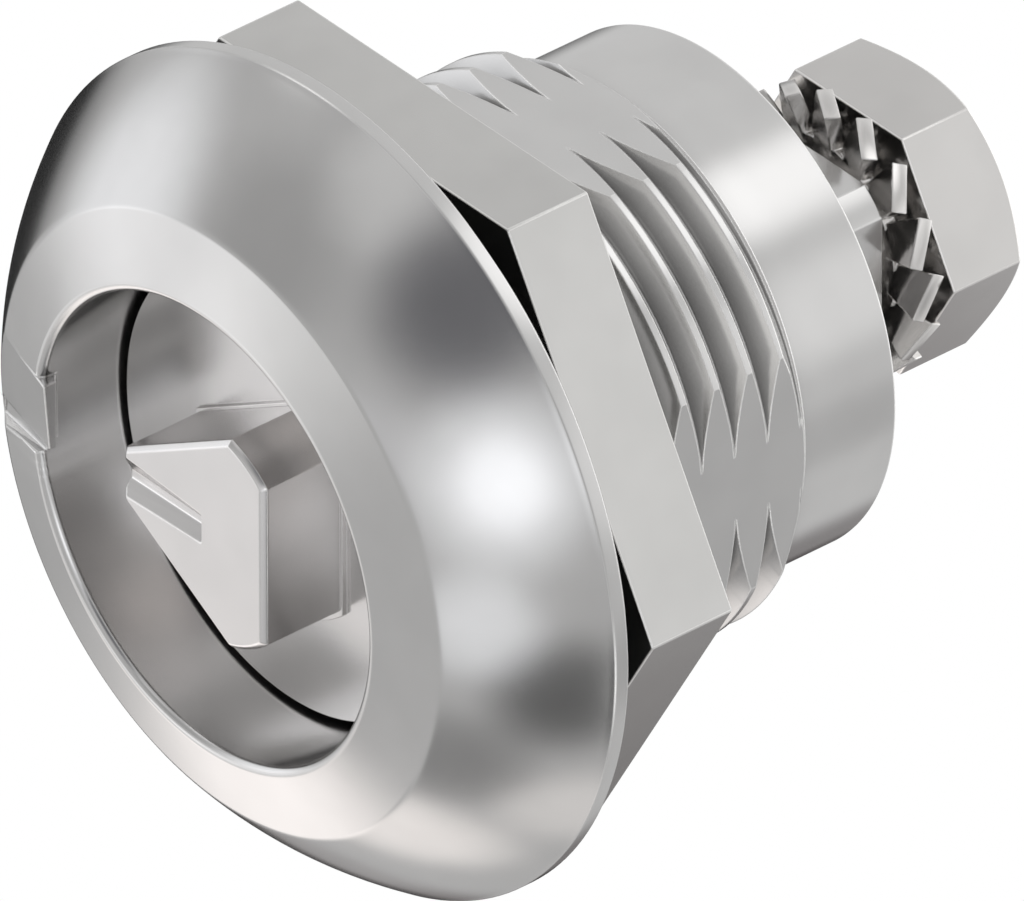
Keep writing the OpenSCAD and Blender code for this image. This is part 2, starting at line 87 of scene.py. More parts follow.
class LatchFinish(bpy.types.PropertyGroup):
    housing: tint("Housing", "Colour of the plated housing", "#EBEAE9")
    nut: tint("Nut", "Colour of the nut", "#E4E3E1")
    key: tint("Key", "Colour of the key and its disc", "#EBE9E8")
    shaft: tint("Shaft", "Colour of the shaft", "#E8E7E6")
    washer: tint("Washer", "Colour of the toothed washer", "#D6D4D2")
    bolt: tint("Bolt", "Colour of the bolt", "#E4E2E0")
    spring: tint("Springs", "Colour of the spring and the rings", "#A9A8A8")
    rubber: tint("Rubber", "Colour of the seals", "#161616")


class LatchStudio(bpy.types.PropertyGroup):
    distance: length("Camera distance", "Distance from the camera to the latch", 1.48)
    tent: length("Tent radius", "Radius of the light tent round the latch", 0.12)
    floor: length("Floor", "Height of the floor", -0.3)


# Shaping tools. Places and lengths are given to them in millimetres, angles in degrees

# Turns that lay a primitive's own Z axis along Y or X
ALONG_Y = (math.pi / 2, 0, 0)
ALONG_X = (0, math.pi / 2, 0)

# Where the cross pin stands on the axis with the shaft drawn in, and how far it travels
PIN_AT, PIN_TRAVEL = 7, 4


def activate(piece):
    bpy.ops.object.select_all(action="DESELECT")
    piece.select_set(True)
    bpy.context.view_layer.objects.active = piece


def edit(piece):
    """Opens a piece for editing with all of it selected."""
    activate(piece)
    bpy.ops.object.mode_set(mode="EDIT")
    bpy.ops.mesh.select_all(action="SELECT")


def begin(name):
    """Names the primitive just added, puts its place into its mesh and opens it for editing."""
    piece = bpy.context.object
    piece.name = piece.data.name = name
    bpy.ops.object.transform_apply(location=True, rotation=True, scale=True)
    bpy.ops.object.mode_set(mode="EDIT")
    bpy.ops.mesh.select_all(action="SELECT")
    return piece


def close():
    """Turns the faces outward and leaves edit mode."""
    bpy.ops.mesh.select_all(action="SELECT")
    bpy.ops.mesh.normals_make_consistent(inside=False)
    bpy.ops.object.mode_set(mode="OBJECT")


def merge(distance):
    bpy.ops.mesh.remove_doubles(threshold=distance * MM)


def pick(test, kind="FACE"):
    """Selects the parts of the mesh being edited that pass a test of their place or normal."""
    mesh = bpy.context.edit_object.data
    bpy.ops.mesh.select_mode(type=kind)
    bpy.ops.mesh.select_all(action="DESELECT")
    shape = bmesh.from_edit_mesh(mesh)
    for item in {"VERT": shape.verts, "EDGE": shape.edges, "FACE": shape.faces}[kind]:
        item.select_set(bool(test(item)))
    shape.select_flush_mode()
    bmesh.update_edit_mesh(mesh)


def pick_corners(test):
    """Selects the corners whose x, y and z pass a test."""
    pick(lambda v: test(*(v.co / MM)), "VERT")


def middle(edge):
    return (edge.verts[0].co + edge.verts[1].co) / 2 / MM


def sharp(edge, angle):
    """Whether the two faces at an edge meet at more than an angle."""
    faces = edge.link_faces
    return len(faces) == 2 and faces[0].normal.angle(faces[1].normal) > math.radians(angle)


def move(test, by):
    """Moves the corners that pass a test."""
    pick_corners(test)
    bpy.ops.transform.translate(value=[d * MM for d in by])


def narrow(test, factor, about=0.0):
    """Draws the corners that pass a test towards a height."""
    pick_corners(test)
    bpy.ops.transform.resize(value=(1, 1, factor), center_override=(0, 0, about * MM))


def rotate(turn, axis="Y", centre=(0, 0, 0)):
    """Turns what is selected."""
    bpy.ops.transform.rotate(
        value=math.radians(turn), orient_axis=axis, center_override=[c * MM for c in centre]
    )


def arc(centre, radius, start, end, steps):
    """Points of an arc in the plane of radius and length."""
    angles = [math.radians(start + (end - start) * i / steps) for i in range(steps + 1)]
    return [(centre[0] + radius * math.cos(a), centre[1] + radius * math.sin(a)) for a in angles]


def turned(name, outline, sides=None):
    """Turns an outline of radius and length by drawing one ring from point to point."""
    sides = sides or bpy.context.scene.latch_sizes.sides
    bpy.ops.object.select_all(action="DESELECT")
    r, y = outline[0]
    bpy.ops.mesh.primitive_circle_add(
        vertices=sides, radius=r * MM, location=(0, y * MM, 0), rotation=ALONG_Y
    )
    piece = begin(name)
    bpy.ops.mesh.select_mode(type="EDGE")
    bpy.ops.mesh.select_all(action="SELECT")
    closed = outline[0] == outline[-1]
    if not closed:
        bpy.ops.mesh.edge_face_add()
        bpy.ops.mesh.select_mode(type="EDGE")
    for r1, y1 in outline[1:]:
        bpy.ops.mesh.extrude_edges_move(TRANSFORM_OT_translate={"value": (0, (y1 - y) * MM, 0)})
        bpy.ops.transform.resize(value=(r1 / r, 1, r1 / r), center_override=(0, y1 * MM, 0))
        r, y = r1, y1
    if closed:
        bpy.ops.mesh.select_all(action="SELECT")
        merge(0.001)
    else:
        bpy.ops.mesh.edge_face_add()
    close()
    return piece


def block(name, low, high):
    """A block between two corners, left open for shaping."""
    bpy.ops.object.select_all(action="DESELECT")
    size = [(b - a) * MM for a, b in zip(low, high)]
    place = [(a + b) / 2 * MM for a, b in zip(low, high)]
    bpy.ops.mesh.primitive_cube_add(size=1, location=place, scale=size)
    return begin(name)


def bar(name, sides, radius, start, end, across=None):
    """A round or many-sided bar on the Y axis, or across it at a length, left open for shaping."""
    bpy.ops.object.select_all(action="DESELECT")
    half = (start + end) / 2 * MM
    place, way = ((0, half, 0), ALONG_Y) if across is None else ((half, across * MM, 0), ALONG_X)
    bpy.ops.mesh.primitive_cylinder_add(
        vertices=sides, radius=radius * MM, depth=(end - start) * MM, location=place, rotation=way
    )
    return begin(name)


def hexagon(name, width, start, end):
    """A hexagon bar with a corner at each side and flats at the top and the bottom."""
    piece = bar(name, 6, width / 2 / math.cos(math.pi / 6), start, end)
    rotate(30)
    close()
    return piece


def prism(name, side, corner, front, back):
    """A triangle with turned corners, cut from a round bar and left open for shaping."""
    tool = bar(name, 90, corner, front, back)
    for turn in (0, 120, 240):
        a = math.radians(turn)
        away = Vector((math.cos(a), 0, math.sin(a)))
        bpy.ops.mesh.select_all(action="SELECT")
        bpy.ops.mesh.bisect(
            plane_co=away * side * MM, plane_no=away, use_fill=True, clear_outer=True
        )
    bpy.ops.mesh.select_all(action="SELECT")
    merge(0.1)
    return tool


def modify(piece, kind, **settings):
    """Gives a piece a modifier with its settings and applies it."""
    activate(piece)
    step = piece.modifiers.new(kind.title(), kind)
    for name, value in settings.items():
        setattr(step, name, value)
    bpy.ops.object.modifier_apply(modifier=step.name)


def combine(piece, tool, operation="DIFFERENCE"):
    """Cuts a tool out of a piece, adds it or keeps what both share, and removes the tool."""
    modify(piece, "BOOLEAN", operation=operation, solver="EXACT", object=tool)
    bpy.data.objects.remove(tool)


def bore(piece, radius, start, end, across=None):
    """Drills a round hole on the Y axis, or across it at a length."""
    tool = bar("drill", 64, radius, start, end, across)
    close()
    combine(piece, tool)


def mill_flats(piece, flat, start, end):
    """Mills four flats at a distance from the axis."""
    half, out = 6, flat + 2
    for low, high in (
        ((flat, start, -half), (out, end, half)), ((-out, start, -half), (-flat, end, half)),
        ((-half, start, flat), (half, end, out)), ((-half, start, -out), (half, end, -flat)),
    ):
        tool = block("flat_cutter", low, high)
        close()
        combine(piece, tool)


def soften(piece, width, angle=28):
    """Merges slivers that a cut has left and rounds the edges that are sharper than an angle."""
    edit(piece)
    merge(width)
    bpy.ops.object.mode_set(mode="OBJECT")
    modify(
        piece, "BEVEL", width=width * MM, segments=2, limit_method="ANGLE",
        angle_limit=math.radians(angle), use_clamp_overlap=False, miter_outer="MITER_ARC",
    )


def finish_piece(piece, body, node, material, angle=30):
    """Shades a finished piece and fits it to its body, its node and its finish."""
    edit(piece)
    # Slivers that the cuts have left open are closed
    bpy.ops.mesh.fill_holes(sides=4)
    close()
    bpy.ops.object.shade_smooth_by_angle(angle=math.radians(angle), keep_sharp_edges=False)
    modify(piece, "WEIGHTED_NORMAL", keep_sharp=True, weight=50)
    piece.data.materials.clear()
    piece.data.materials.append(material)
    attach(piece, body)
    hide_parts(node)


# Finishes


def add_node(tree, kind, inputs=None, links=None, **settings):
    """Adds one shader node, with its settings, its socket values and its links."""
    node = tree.nodes.new(kind)
    for name, value in settings.items():
        setattr(node, name, value)
    for name, value in (inputs or {}).items():
        node.inputs[name].default_value = value
    for name, socket in (links or {}).items():
        tree.links.new(socket, node.inputs[name])
    return node


def span(tree, value, low, high, start=0.0, end=1.0, **settings):
    """Maps a value from one range, 0 to 1 unless another is given, to a low and a high one."""
    node = add_node(
        tree, "ShaderNodeMapRange",
        {"From Min": start, "From Max": end, "To Min": low, "To Max": high}, {"Value": value},
        **settings,
    )
    return node.outputs["Result"]


def maths(tree, operation, first, second):
    node = add_node(tree, "ShaderNodeMath", links={0: first, 1: second}, operation=operation)
    return node.outputs[0]


def noise(tree, size, detail, roughness=0.5):
    """Noise in the object's own space, with spots of a size in millimetres."""
    place = add_node(tree, "ShaderNodeTexCoord")
    values = {"Scale": 1 / (size * MM), "Detail": detail, "Roughness": roughness}
    node = add_node(tree, "ShaderNodeTexNoise", values, {"Vector": place.outputs["Object"]})
    return node.outputs["Fac"]


def new_material(name):
    material = bpy.data.materials.new(name)
    material.use_nodes = True
    material.node_tree.nodes.clear()
    return material, material.node_tree


def shaded(tree, base, shade):
    """A base colour made lighter or darker by a shade."""
    channels = {name: shade for name in ("Red", "Green", "Blue")}
    grey = add_node(tree, "ShaderNodeCombineColor", links=channels)
    tone = add_node(
        tree, "ShaderNodeMix", {"Factor": 1.0, "A": (*base, 1)}, {"B": grey.outputs["Color"]},
        data_type="RGBA", blend_type="MULTIPLY",
    )
    return tone.outputs["Result"]


def surface(tree, metallic, base, roughness, normal):
    """The surface itself, joined to the material's output."""
    skin = add_node(
        tree, "ShaderNodeBsdfPrincipled", {"Metallic": metallic},
        {"Base Color": base, "Roughness": roughness, "Normal": normal},
    )
    add_node(tree, "ShaderNodeOutputMaterial", links={"Surface": skin.outputs["BSDF"]})


def satin_metal(name, base, roughness, edge=0.05, painted_shade_reach=0, shine=0.86):
    """Metal with a fine even grain, painted shade in its hollows and a painted highlight on its
    edges. The widths of its edges and of its shaded hollows are in millimetres.
    """
    material, tree = new_material(name)
    # A grain about as fine as blasted and plated metal shows: it breaks the reflections softly
    fine = noise(tree, 0.05, 3.0, 0.6)
    # Broad faint patches that keep large faces from looking like plastic
    broad = noise(tree, 3, 2.0)
    # Small changes of shine from grain to grain
    rough = span(tree, fine, roughness - 0.03, roughness + 0.03, 0.3, 0.7)
    # Colour a touch darker in the patches and in the grain
    spread = add_node(
        tree, "ShaderNodeMath", {1: 0.5}, {0: fine, 2: broad}, operation="MULTIPLY_ADD"
    )
    shade = span(tree, spread.outputs[0], shine - 0.06, shine, 0.5, 1.0)
    if painted_shade_reach:
        # Painted shade: the colour is darkened where the piece's own surfaces close round a spot,
        # deep in the grooves of the thread and in other hollows
        depth = add_node(
            tree, "ShaderNodeAmbientOcclusion", {"Distance": painted_shade_reach * MM}, samples=4,
            only_local=True,
        )
        dull = span(tree, depth.outputs["AO"], 0.5, 1.0, 0.25, 0.95)
        shade = maths(tree, "MULTIPLY", shade, dull)
    # Rounded edges: the bevel bends their shading normal, and their colour is raised into a painted
    # highlight, a thin bright line
    round_edge = add_node(tree, "ShaderNodeBevel", {"Radius": edge * MM}, samples=4)
    face = add_node(tree, "ShaderNodeNewGeometry")
    bend = add_node(
        tree, "ShaderNodeVectorMath",
        links={0: round_edge.outputs["Normal"], 1: face.outputs["True Normal"]},
        operation="DOT_PRODUCT",
    )
    painted_edge_highlight = span(tree, bend.outputs["Value"], 0.0, 1.0, 0.998, 0.98)
    # Painted highlight: on the edges the colour is lifted above that of the faces
    shade = add_node(tree, "ShaderNodeMix", {"B": 1.15}, {"Factor": painted_edge_highlight, "A": shade})
    # The grain stands up from the surface a little
    bump = add_node(
        tree, "ShaderNodeBump", {"Strength": 0.03, "Distance": 0.002 * MM},
        {"Height": fine, "Normal": round_edge.outputs["Normal"]},
    )
    tone = shaded(tree, base, shade.outputs["Result"])
    surface(tree, 1.0, tone, rough, bump.outputs["Normal"])
    return material


def matt_rubber(name, base):
    """Matt moulded rubber."""
    material, tree = new_material(name)
    # The uneven skin of a moulding, which shows as faint spots of shine and shade
    skin = noise(tree, 0.15, 4.0)
    dull = span(tree, skin, 0.55, 0.8)
    lift = span(tree, skin, 0.7, 1.3)
    bump = add_node(
        tree, "ShaderNodeBump", {"Strength": 0.4, "Distance": 0.01 * MM}, {"Height": skin}
    )
    surface(tree, 0.0, shaded(tree, base, lift), dull, bump.outputs["Normal"])
    return material


# Outline of the housing, with radius before length

# Slope of the front ring in degrees, then the middle and the radius of the mouth's rounding
RING_SLOPE = 16.4
MOUTH, MOUTH_ROUND = (9.2, -5.65), 0.3
# Crease between the ring and the bell, and how far before it the bend begins
CREASE, CREASE_BEND = (11.85, -5.183), 0.12
# Middle and radius of the rim's rounding, and how far out and forward of it the bell ends
RIM, RIM_ROUND, RIM_MEET = (15.85, -0.57), 0.15, 0.106
# How far the bell bulges past the straight line from the crease to the rim
BULGE = 0.25


def bell_outline():
    """The bulging bell between the crease and the rim."""
    (r0, y0), (r1, y1) = CREASE, (RIM[0] + RIM_MEET, RIM[1] - RIM_MEET)
    run = math.hypot(r1 - r0, y1 - y0)
    side = ((y1 - y0) / run, -(r1 - r0) / run)
    points, steps = [], 28
    for i in range(1, steps + 1):
        u = i / steps
        lift = 4 * BULGE * u * (1 - u)
        points.append((r0 + (r1 - r0) * u + lift * side[0], y0 + (y1 - y0) * u + lift * side[1]))
    return points


def crease_outline():
    """A soft bend between the front ring and the bell."""
    s = math.radians(RING_SLOPE)
    first = (CREASE[0] - CREASE_BEND * math.cos(s), CREASE[1] - CREASE_BEND * math.sin(s))
    last = bell_outline()[0]
    points, steps = [], 6
    for i in range(steps + 1):
        u = i / steps
        a, b, c = (1 - u) ** 2, 2 * u * (1 - u), u * u
        points.append(tuple(a * p + b * q + c * r for p, q, r in zip(first, CREASE, last)))
    return points


def housing_outline():
    """From the mouth over the bell and the barrel to its rear end, and back through the bore."""
    outline = arc(MOUTH, MOUTH_ROUND, -180, RING_SLOPE - 90, 10)
    outline += crease_outline() + bell_outline()[1:]
    outline += arc(RIM, RIM_ROUND, -30, 0, 3)
    # Back of the flange with the groove for its seal
    outline += [(16, -0.08), (15.92, 0), (14.4, 0), (14.4, -0.9), (11.6, -0.9), (11.6, 0)]
    # Threaded part, smooth rear part and its rounded end
    outline += [(11.1, 0), (11, 0.1), (11, 12.08), (9.88, 13.2)]
    outline += arc((9.76, 17.28), 0.12, 0, 90, 4)
    # Groove for the retaining ring, then the shoulder that the driver turns in
    outline += [(8.4, 17.4), (8.36, 17.36), (8.36, 16.95), (8.86, 16.95), (8.86, 15.95)]
    outline += [(8.36, 15.95)]
    outline += [(8.36, 2.6), (6.96, 2.6), (6.96, 0.5), (8.9, 0.5)]
    return outline + outline[:1]


class LATCH_OT_housing(bpy.types.Operator):
    """Turn the housing, cut its flats, its thread and its position mark"""

    bl_idname = "latch.housing"
    bl_label = "Housing"

    def execute(self, context):
        sizes, finish = context.scene.latch_sizes, context.scene.latch_finish
        piece = turned("housing_body", housing_outline())
        behind_flange, past_thread = 0.01, 13.4
        mill_flats(piece, sizes.flat / MM, behind_flange, past_thread)
        self.cut_mark(piece)
        self.cut_thread(piece, sizes)
        # The housing's colour carries painted shade in its hollows, reaching a millimetre
        material = satin_metal(
            "Satin plated die-cast housing", finish.housing, 0.19, edge=0.08, painted_shade_reach=1.0
        )
        finish_piece(piece, "housing", "housing", material, angle=20)
        return {"FINISHED"}

    def cut_thread(self, piece, sizes):
        """Cuts eight turns of a groove with straight flanks at 60 degrees and a round root."""
        pitch, outer = sizes.pitch / MM, sizes.thread_r / MM
        turns, turn_steps, first_turn = 8, 96, 0.9025
        # Depth and half width of a metric thread's groove as shares of its pitch
        depth_share, width_share = 0.613, 7 / 16
        root = outer - depth_share * pitch
        slope = math.tan(math.radians(30))
        # The wedge stands out past the barrel, and is wider there by its slope
        over = 0.3
        half = width_share * pitch + over * slope
        start = first_turn + pitch
        wide, tip, root_round = outer + over, 0.02, 0.2
        # Section of the groove: a wedge from a plane, its inner corners close together
        bpy.ops.object.select_all(action="DESELECT")
        bpy.ops.mesh.primitive_plane_add(
            size=2 * half * MM, location=((wide - half) * MM, start * MM, 0)
        )
        tool = begin("thread_cutter")
        pick_corners(lambda x, y, z: x < wide - half)
        apex = wide - half / slope
        bpy.ops.transform.resize(value=(1, tip / half, 1), center_override=(0, start * MM, 0))
        bpy.ops.transform.translate(value=((apex + 2 * tip - (wide - 2 * half)) * MM, 0, 0))
        # A wide bevel across the two inner corners gives the round root
        bpy.ops.mesh.bevel(offset=root_round * MM, segments=4, affect="VERTICES")
        close()
        lowest = min(v.co.x for v in tool.data.vertices) / MM
        edit(tool)
        move(lambda x, y, z: x < outer, (root - lowest, 0, 0))
        bpy.ops.object.mode_set(mode="OBJECT")
        modify(
            tool, "SCREW", axis="Y", steps=turn_steps, render_steps=turn_steps,
            screw_offset=sizes.pitch, iterations=turns, use_merge_vertices=False,
        )
        edit(tool)
        merge(0.0001)
        close()
        combine(piece, tool)

    def cut_mark(self, piece):
        """The position mark: a thin lip in the recess, a sloping face and a groove below it."""
        # The lip's rear end slopes forward from the recess's wall
        lip = block("mark_lip", (-9.2, -6.3, -1.0), (-8.3, -4.85, 1.8))
        move(lambda x, y, z: x > -8.4 and y > -5, (0, -0.75, 0))
        close()
        combine(piece, lip, "UNION")
        # Level with the ring at the top, a quarter of a millimetre deep at the groove
        slope, tilt = math.tan(math.radians(RING_SLOPE)), 0.0862
        low, high = (-12.85, -7.8, -1.25), (-6.9, -6.675, 2.8)
        face = block("mark_face", low, high)
        move(lambda x, y, z: x < -12 and y > -7, (0, slope * (high[0] - low[0]), 0))
        move(lambda x, y, z: z < -1 and y > -7, (0, tilt * (high[2] - low[2]), 0))
        close()
        combine(piece, face)
        # The groove's floor and top follow the ring's slope
        fall, inner_drop, outer_drop = 1.31, 1.08, 1.69
        groove = block("mark_groove", (-12.35, -6.8, -0.95), (-7.9, -4.59, 0.95))
        move(lambda x, y, z: x > -8 and y > -5, (0, -fall, 0))
        move(lambda x, y, z: x < -12 and y < -6, (0, fall, 0))
        # It narrows towards its floor and its inner end, and runs down towards its outer one
        narrow(lambda x, y, z: x > -8 and y < -6.5, 0.22)
        narrow(lambda x, y, z: x > -8 and y > -6.5, 0.08)
        narrow(lambda x, y, z: x < -12 and y > -5, 0.32)
        move(lambda x, y, z: x > -8, (0, 0, -inner_drop))
        move(lambda x, y, z: x < -12, (0, 0, -outer_drop))
        close()
        combine(piece, groove)
        self.round_mark(piece)

    def round_mark(self, piece):
        """Small rounded edges that show as bright lines round the mark."""

        def near(x, y, z):
            return x < -7.5 and y < -4.7 and -2.6 < z < 2.0

        edit(piece)
        pick_corners(near)
        merge(0.06)
        pick(lambda e: near(*middle(e)) and sharp(e, 20), "EDGE")
        bpy.ops.mesh.bevel(offset=0.05 * MM, segments=2, affect="EDGES")
        # A corner that the rounding throws out into the empty recess is taken away
        pick_corners(lambda x, y, z: y < -3 and math.hypot(x, z) < 8.2)
        bpy.ops.mesh.dissolve_verts()
        bpy.ops.object.mode_set(mode="OBJECT")


class LATCH_OT_nut(bpy.types.Operator):
    """Cut the hexagon nut from bar and bore it"""

    bl_idname = "latch.nut"
    bl_label = "Hexagon nut"

    def execute(self, context):
        sizes, finish = context.scene.latch_sizes, context.scene.latch_finish
        front, back = 1.38, 5.03
        piece = hexagon("hexagon_nut", sizes.nut_w / MM, front, back)
        # The bore opens in a chamfer at both ends
        mouth_r, bore_r, past, deep = 11.85, 11.05, 0.2, 0.4
        combine(piece, turned("nut_bore", [
            (mouth_r, front - past), (bore_r, front + deep), (bore_r, back - deep),
            (mouth_r, back + past),
        ]))
        soften(piece, 0.07)
        material = satin_metal("Ground steel nut", finish.nut, 0.18, edge=0.08)
        finish_piece(piece, "housing", "hex_nut", material)
        return {"FINISHED"}


class LATCH_OT_driver(bpy.types.Operator):
    """Turn the driver and raise the triangular key on its disc"""

    bl_idname = "latch.driver"
    bl_label = "Driver and key"

    def execute(self, context):
        finish = context.scene.latch_finish
        # Disc, journal with the seal's groove, groove of the snap ring, skirt and its bore
        piece = turned("key_driver", [
            (8.6, -2.15), (8.67, -2.12), (8.7, -2.05), (8.7, 0.35), (6.88, 0.35), (6.88, 1.0),
            (5.92, 1.0), (5.92, 2.1), (6.88, 2.1), (6.88, 2.75), (6.33, 2.75), (6.33, 3.5),
            (6.58, 3.5), (6.58, 13.05), (5.13, 13.05), (5.13, 0.5),
        ])
        self.cut_slots(piece)
        combine(piece, self.key(), "UNION")
        material = satin_metal("Satin plated key", finish.key, 0.24, edge=0.06, shine=0.98)
        finish_piece(piece, "driver", "driver", material)
        return {"FINISHED"}

    def cut_slots(self, piece):
        """Two helical slots for the cross pin: its path over a quarter turn and its travel."""
        slot_r, reach, last, step = 1.35, 8, 90, 6
        for turn in range(0, last + 1, step):
            at = PIN_AT + PIN_TRAVEL * turn / last
            tool = bar("slot_cutter", 32, slot_r, -reach, reach, across=at)
            rotate(-turn)
            close()
            combine(piece, tool)

    def key(self):
        """The key with its groove, on a low plinth that is wider all round."""
        side, corner, disc = 3.11, 4.58, -2.0
        bevel, plinth_edge = 0.2, 0.2
        tool = prism("key", side, corner, -5.61, disc)
        # The face is drawn in and forward, which leaves the bevel round it
        pick(lambda f: f.normal.y < -0.9)
        bpy.ops.mesh.inset(thickness=bevel * MM, depth=bevel * MM)
        close()
        # A groove from the left corner to the middle, its upper wall flatter than its lower one
        groove = block("key_groove", (-5.2, -5.9, -1.0), (-0.2, -5.31, 0.95))
        narrow(lambda x, y, z: y > -5.6, 0.2, -0.25)
        narrow(lambda x, y, z: x > -1, 0.72, -0.15)
        close()
        combine(tool, groove)
        soften(tool, 0.05, angle=25)
        plinth = prism("plinth", side + plinth_edge, corner + plinth_edge, -2.35, disc)
        close()
        soften(plinth, 0.04, angle=40)
        combine(tool, plinth, "UNION")
        return tool


class LATCH_OT_shaft(bpy.types.Operator):
    """Turn the shaft, mill its square end and drill it"""

    bl_idname = "latch.shaft"
    bl_label = "Shaft"

    def execute(self, context):
        finish = context.scene.latch_finish
        piece = turned("square_shaft", [(4.95, 5.0), (5.05, 5.1), (5.05, 21.72), (4.99, 21.78)])
        half_square, square_start, past_end = 4, 17.2, 22
        mill_flats(piece, half_square, square_start, past_end)
        bolt_r, bolt_tip, pin_r, reach = 3.03, 11.07, 1.26, 7
        bore(piece, bolt_r, bolt_tip, past_end + 1)
        bore(piece, pin_r, -reach, reach, across=PIN_AT)
        soften(piece, 0.05)
        material = satin_metal("Machined steel shaft", finish.shaft, 0.18, edge=0.06)
        finish_piece(piece, "shaft", "shaft", material)
        return {"FINISHED"}


class LATCH_OT_washer(bpy.types.Operator):
    """Stamp the toothed washer and twist its teeth"""

    bl_idname = "latch.washer"
    bl_label = "Toothed washer"

    def execute(self, context):
        sizes, finish = context.scene.latch_sizes, context.scene.latch_finish
        centre, thick = 22.675, 0.6
        inner, outer = 3.2, 3.95
        teeth = self.tooth(sizes, centre, thick)
        bpy.ops.mesh.spin(
            steps=sizes.teeth - 1, dupli=True, angle=2 * math.pi * (sizes.teeth - 1) / sizes.teeth,
            center=(0, centre * MM, 0), axis=(0, 1, 0),
        )
        close()
        low, high = centre - thick / 2, centre + thick / 2
        outline = [(inner, low), (inner, high), (outer, high), (outer, low), (inner, low)]
        piece = turned("toothed_washer", outline, sides=96)
        combine(piece, teeth, "UNION")
        soften(piece, 0.05, angle=35)
        material = satin_metal("Hardened spring washer", finish.washer, 0.2, edge=0.07, shine=0.98)
        finish_piece(piece, "shaft", "lock_washer", material, angle=22)
        return {"FINISHED"}

    def tooth(self, sizes, centre, thick):
        """One tooth, drawn outwards step by step and twisted, left open with all selected."""
        root, end, steps = 3.6, 5.45, 6
        root_w, end_w = 1.22, 1.85
        bpy.ops.object.select_all(action="DESELECT")
        bpy.ops.mesh.primitive_plane_add(
            size=1, location=(root * MM, centre * MM, 0), rotation=ALONG_X
        )
        tooth = begin("washer_teeth")
        bpy.ops.transform.resize(
            value=(1, thick * MM, root_w * MM), center_override=(root * MM, centre * MM, 0)
        )
        bpy.ops.mesh.select_mode(type="FACE")
        reach, width = (end - root) / steps * MM, root_w
        for i in range(1, steps + 1):
            bpy.ops.mesh.extrude_region_move(TRANSFORM_OT_translate={"value": (reach, 0, 0)})
            wider = root_w + (end_w - root_w) * i / steps
            bpy.ops.transform.resize(
                value=(1, 1, wider / width), center_override=(0, centre * MM, 0)
            )
            width = wider
        # A fifth of the twist stands at the root already
        for i in range(steps + 1):
            at = root + (end - root) * i / steps
            pick_corners(lambda x, y, z: abs(x - at) < 0.01)
            rotate(math.degrees(sizes.tooth_twist) * (0.2 + 0.8 * i / steps), "X", (at, centre, 0))
        bpy.ops.mesh.select_all(action="SELECT")
        bpy.ops.mesh.normals_make_consistent(inside=False)
        return tooth


class LATCH_OT_bolt(bpy.types.Operator):
    """Forge the bolt's hexagon head and turn its chamfer"""

    bl_idname = "latch.bolt"
    bl_label = "Hexagon bolt"

    def execute(self, context):
        sizes, finish = context.scene.latch_sizes, context.scene.latch_finish
        head_front, head_back = 23.57, 27.57
        piece = hexagon("hexagon_bolt", sizes.bolt_w / MM, head_front, head_back)
        # The chamfer leaves a round flat face and a curved edge on each side of the hexagon
        cone = turned("head_chamfer", [(6.5, 23.2), (6.5, 26.22), (4.16, head_back)])
        combine(piece, cone, "INTERSECT")
        shank = turned("shank", [(2.7, 11.57), (3.0, 11.87), (3.0, 23.8)], sides=96)
        combine(piece, shank, "UNION")
        soften(piece, 0.06)
        material = satin_metal("Cold-headed steel bolt", finish.bolt, 0.18, edge=0.08)
        finish_piece(piece, "shaft", "hex_bolt", material)
        return {"FINISHED"}


class LATCH_OT_inside(bpy.types.Operator):
    """Give the seals, rings and inner pieces their finishes"""

    bl_idname = "latch.inside"
    bl_label = "Seals and inner pieces"

    def execute(self, context):
        finish = context.scene.latch_finish
        rubber = matt_rubber("Moulded black rubber", finish.rubber)
        springy = satin_metal("Drawn spring steel", finish.spring, 0.35)
        turned_steel = satin_metal("Turned steel bush", finish.shaft, 0.33)
        finishes = {
            rubber: ("flange_seal", "driver_seal", "shaft_seal"),
            springy: ("driver_ring", "thrust_washer", "cross_pin", "spring", "rear_ring"),
            turned_steel: ("guide_sleeve", "rear_bush"),
        }
        for material, nodes in finishes.items():
            for name in nodes:
                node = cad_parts[name]
                if not node.material_slots:
                    raise RuntimeError("no material slot on " + name)
                for slot in node.material_slots:
                    slot.material = material
        return {"FINISHED"}


# Stage

# Light of the tent's plain cloth and of all that it gives out together
CLOTH, TENT_STRENGTH = 0.46, 1.17
# Share of a lamp's half width that is fully bright inside its soft edge
LAMP_CORE = 0.25
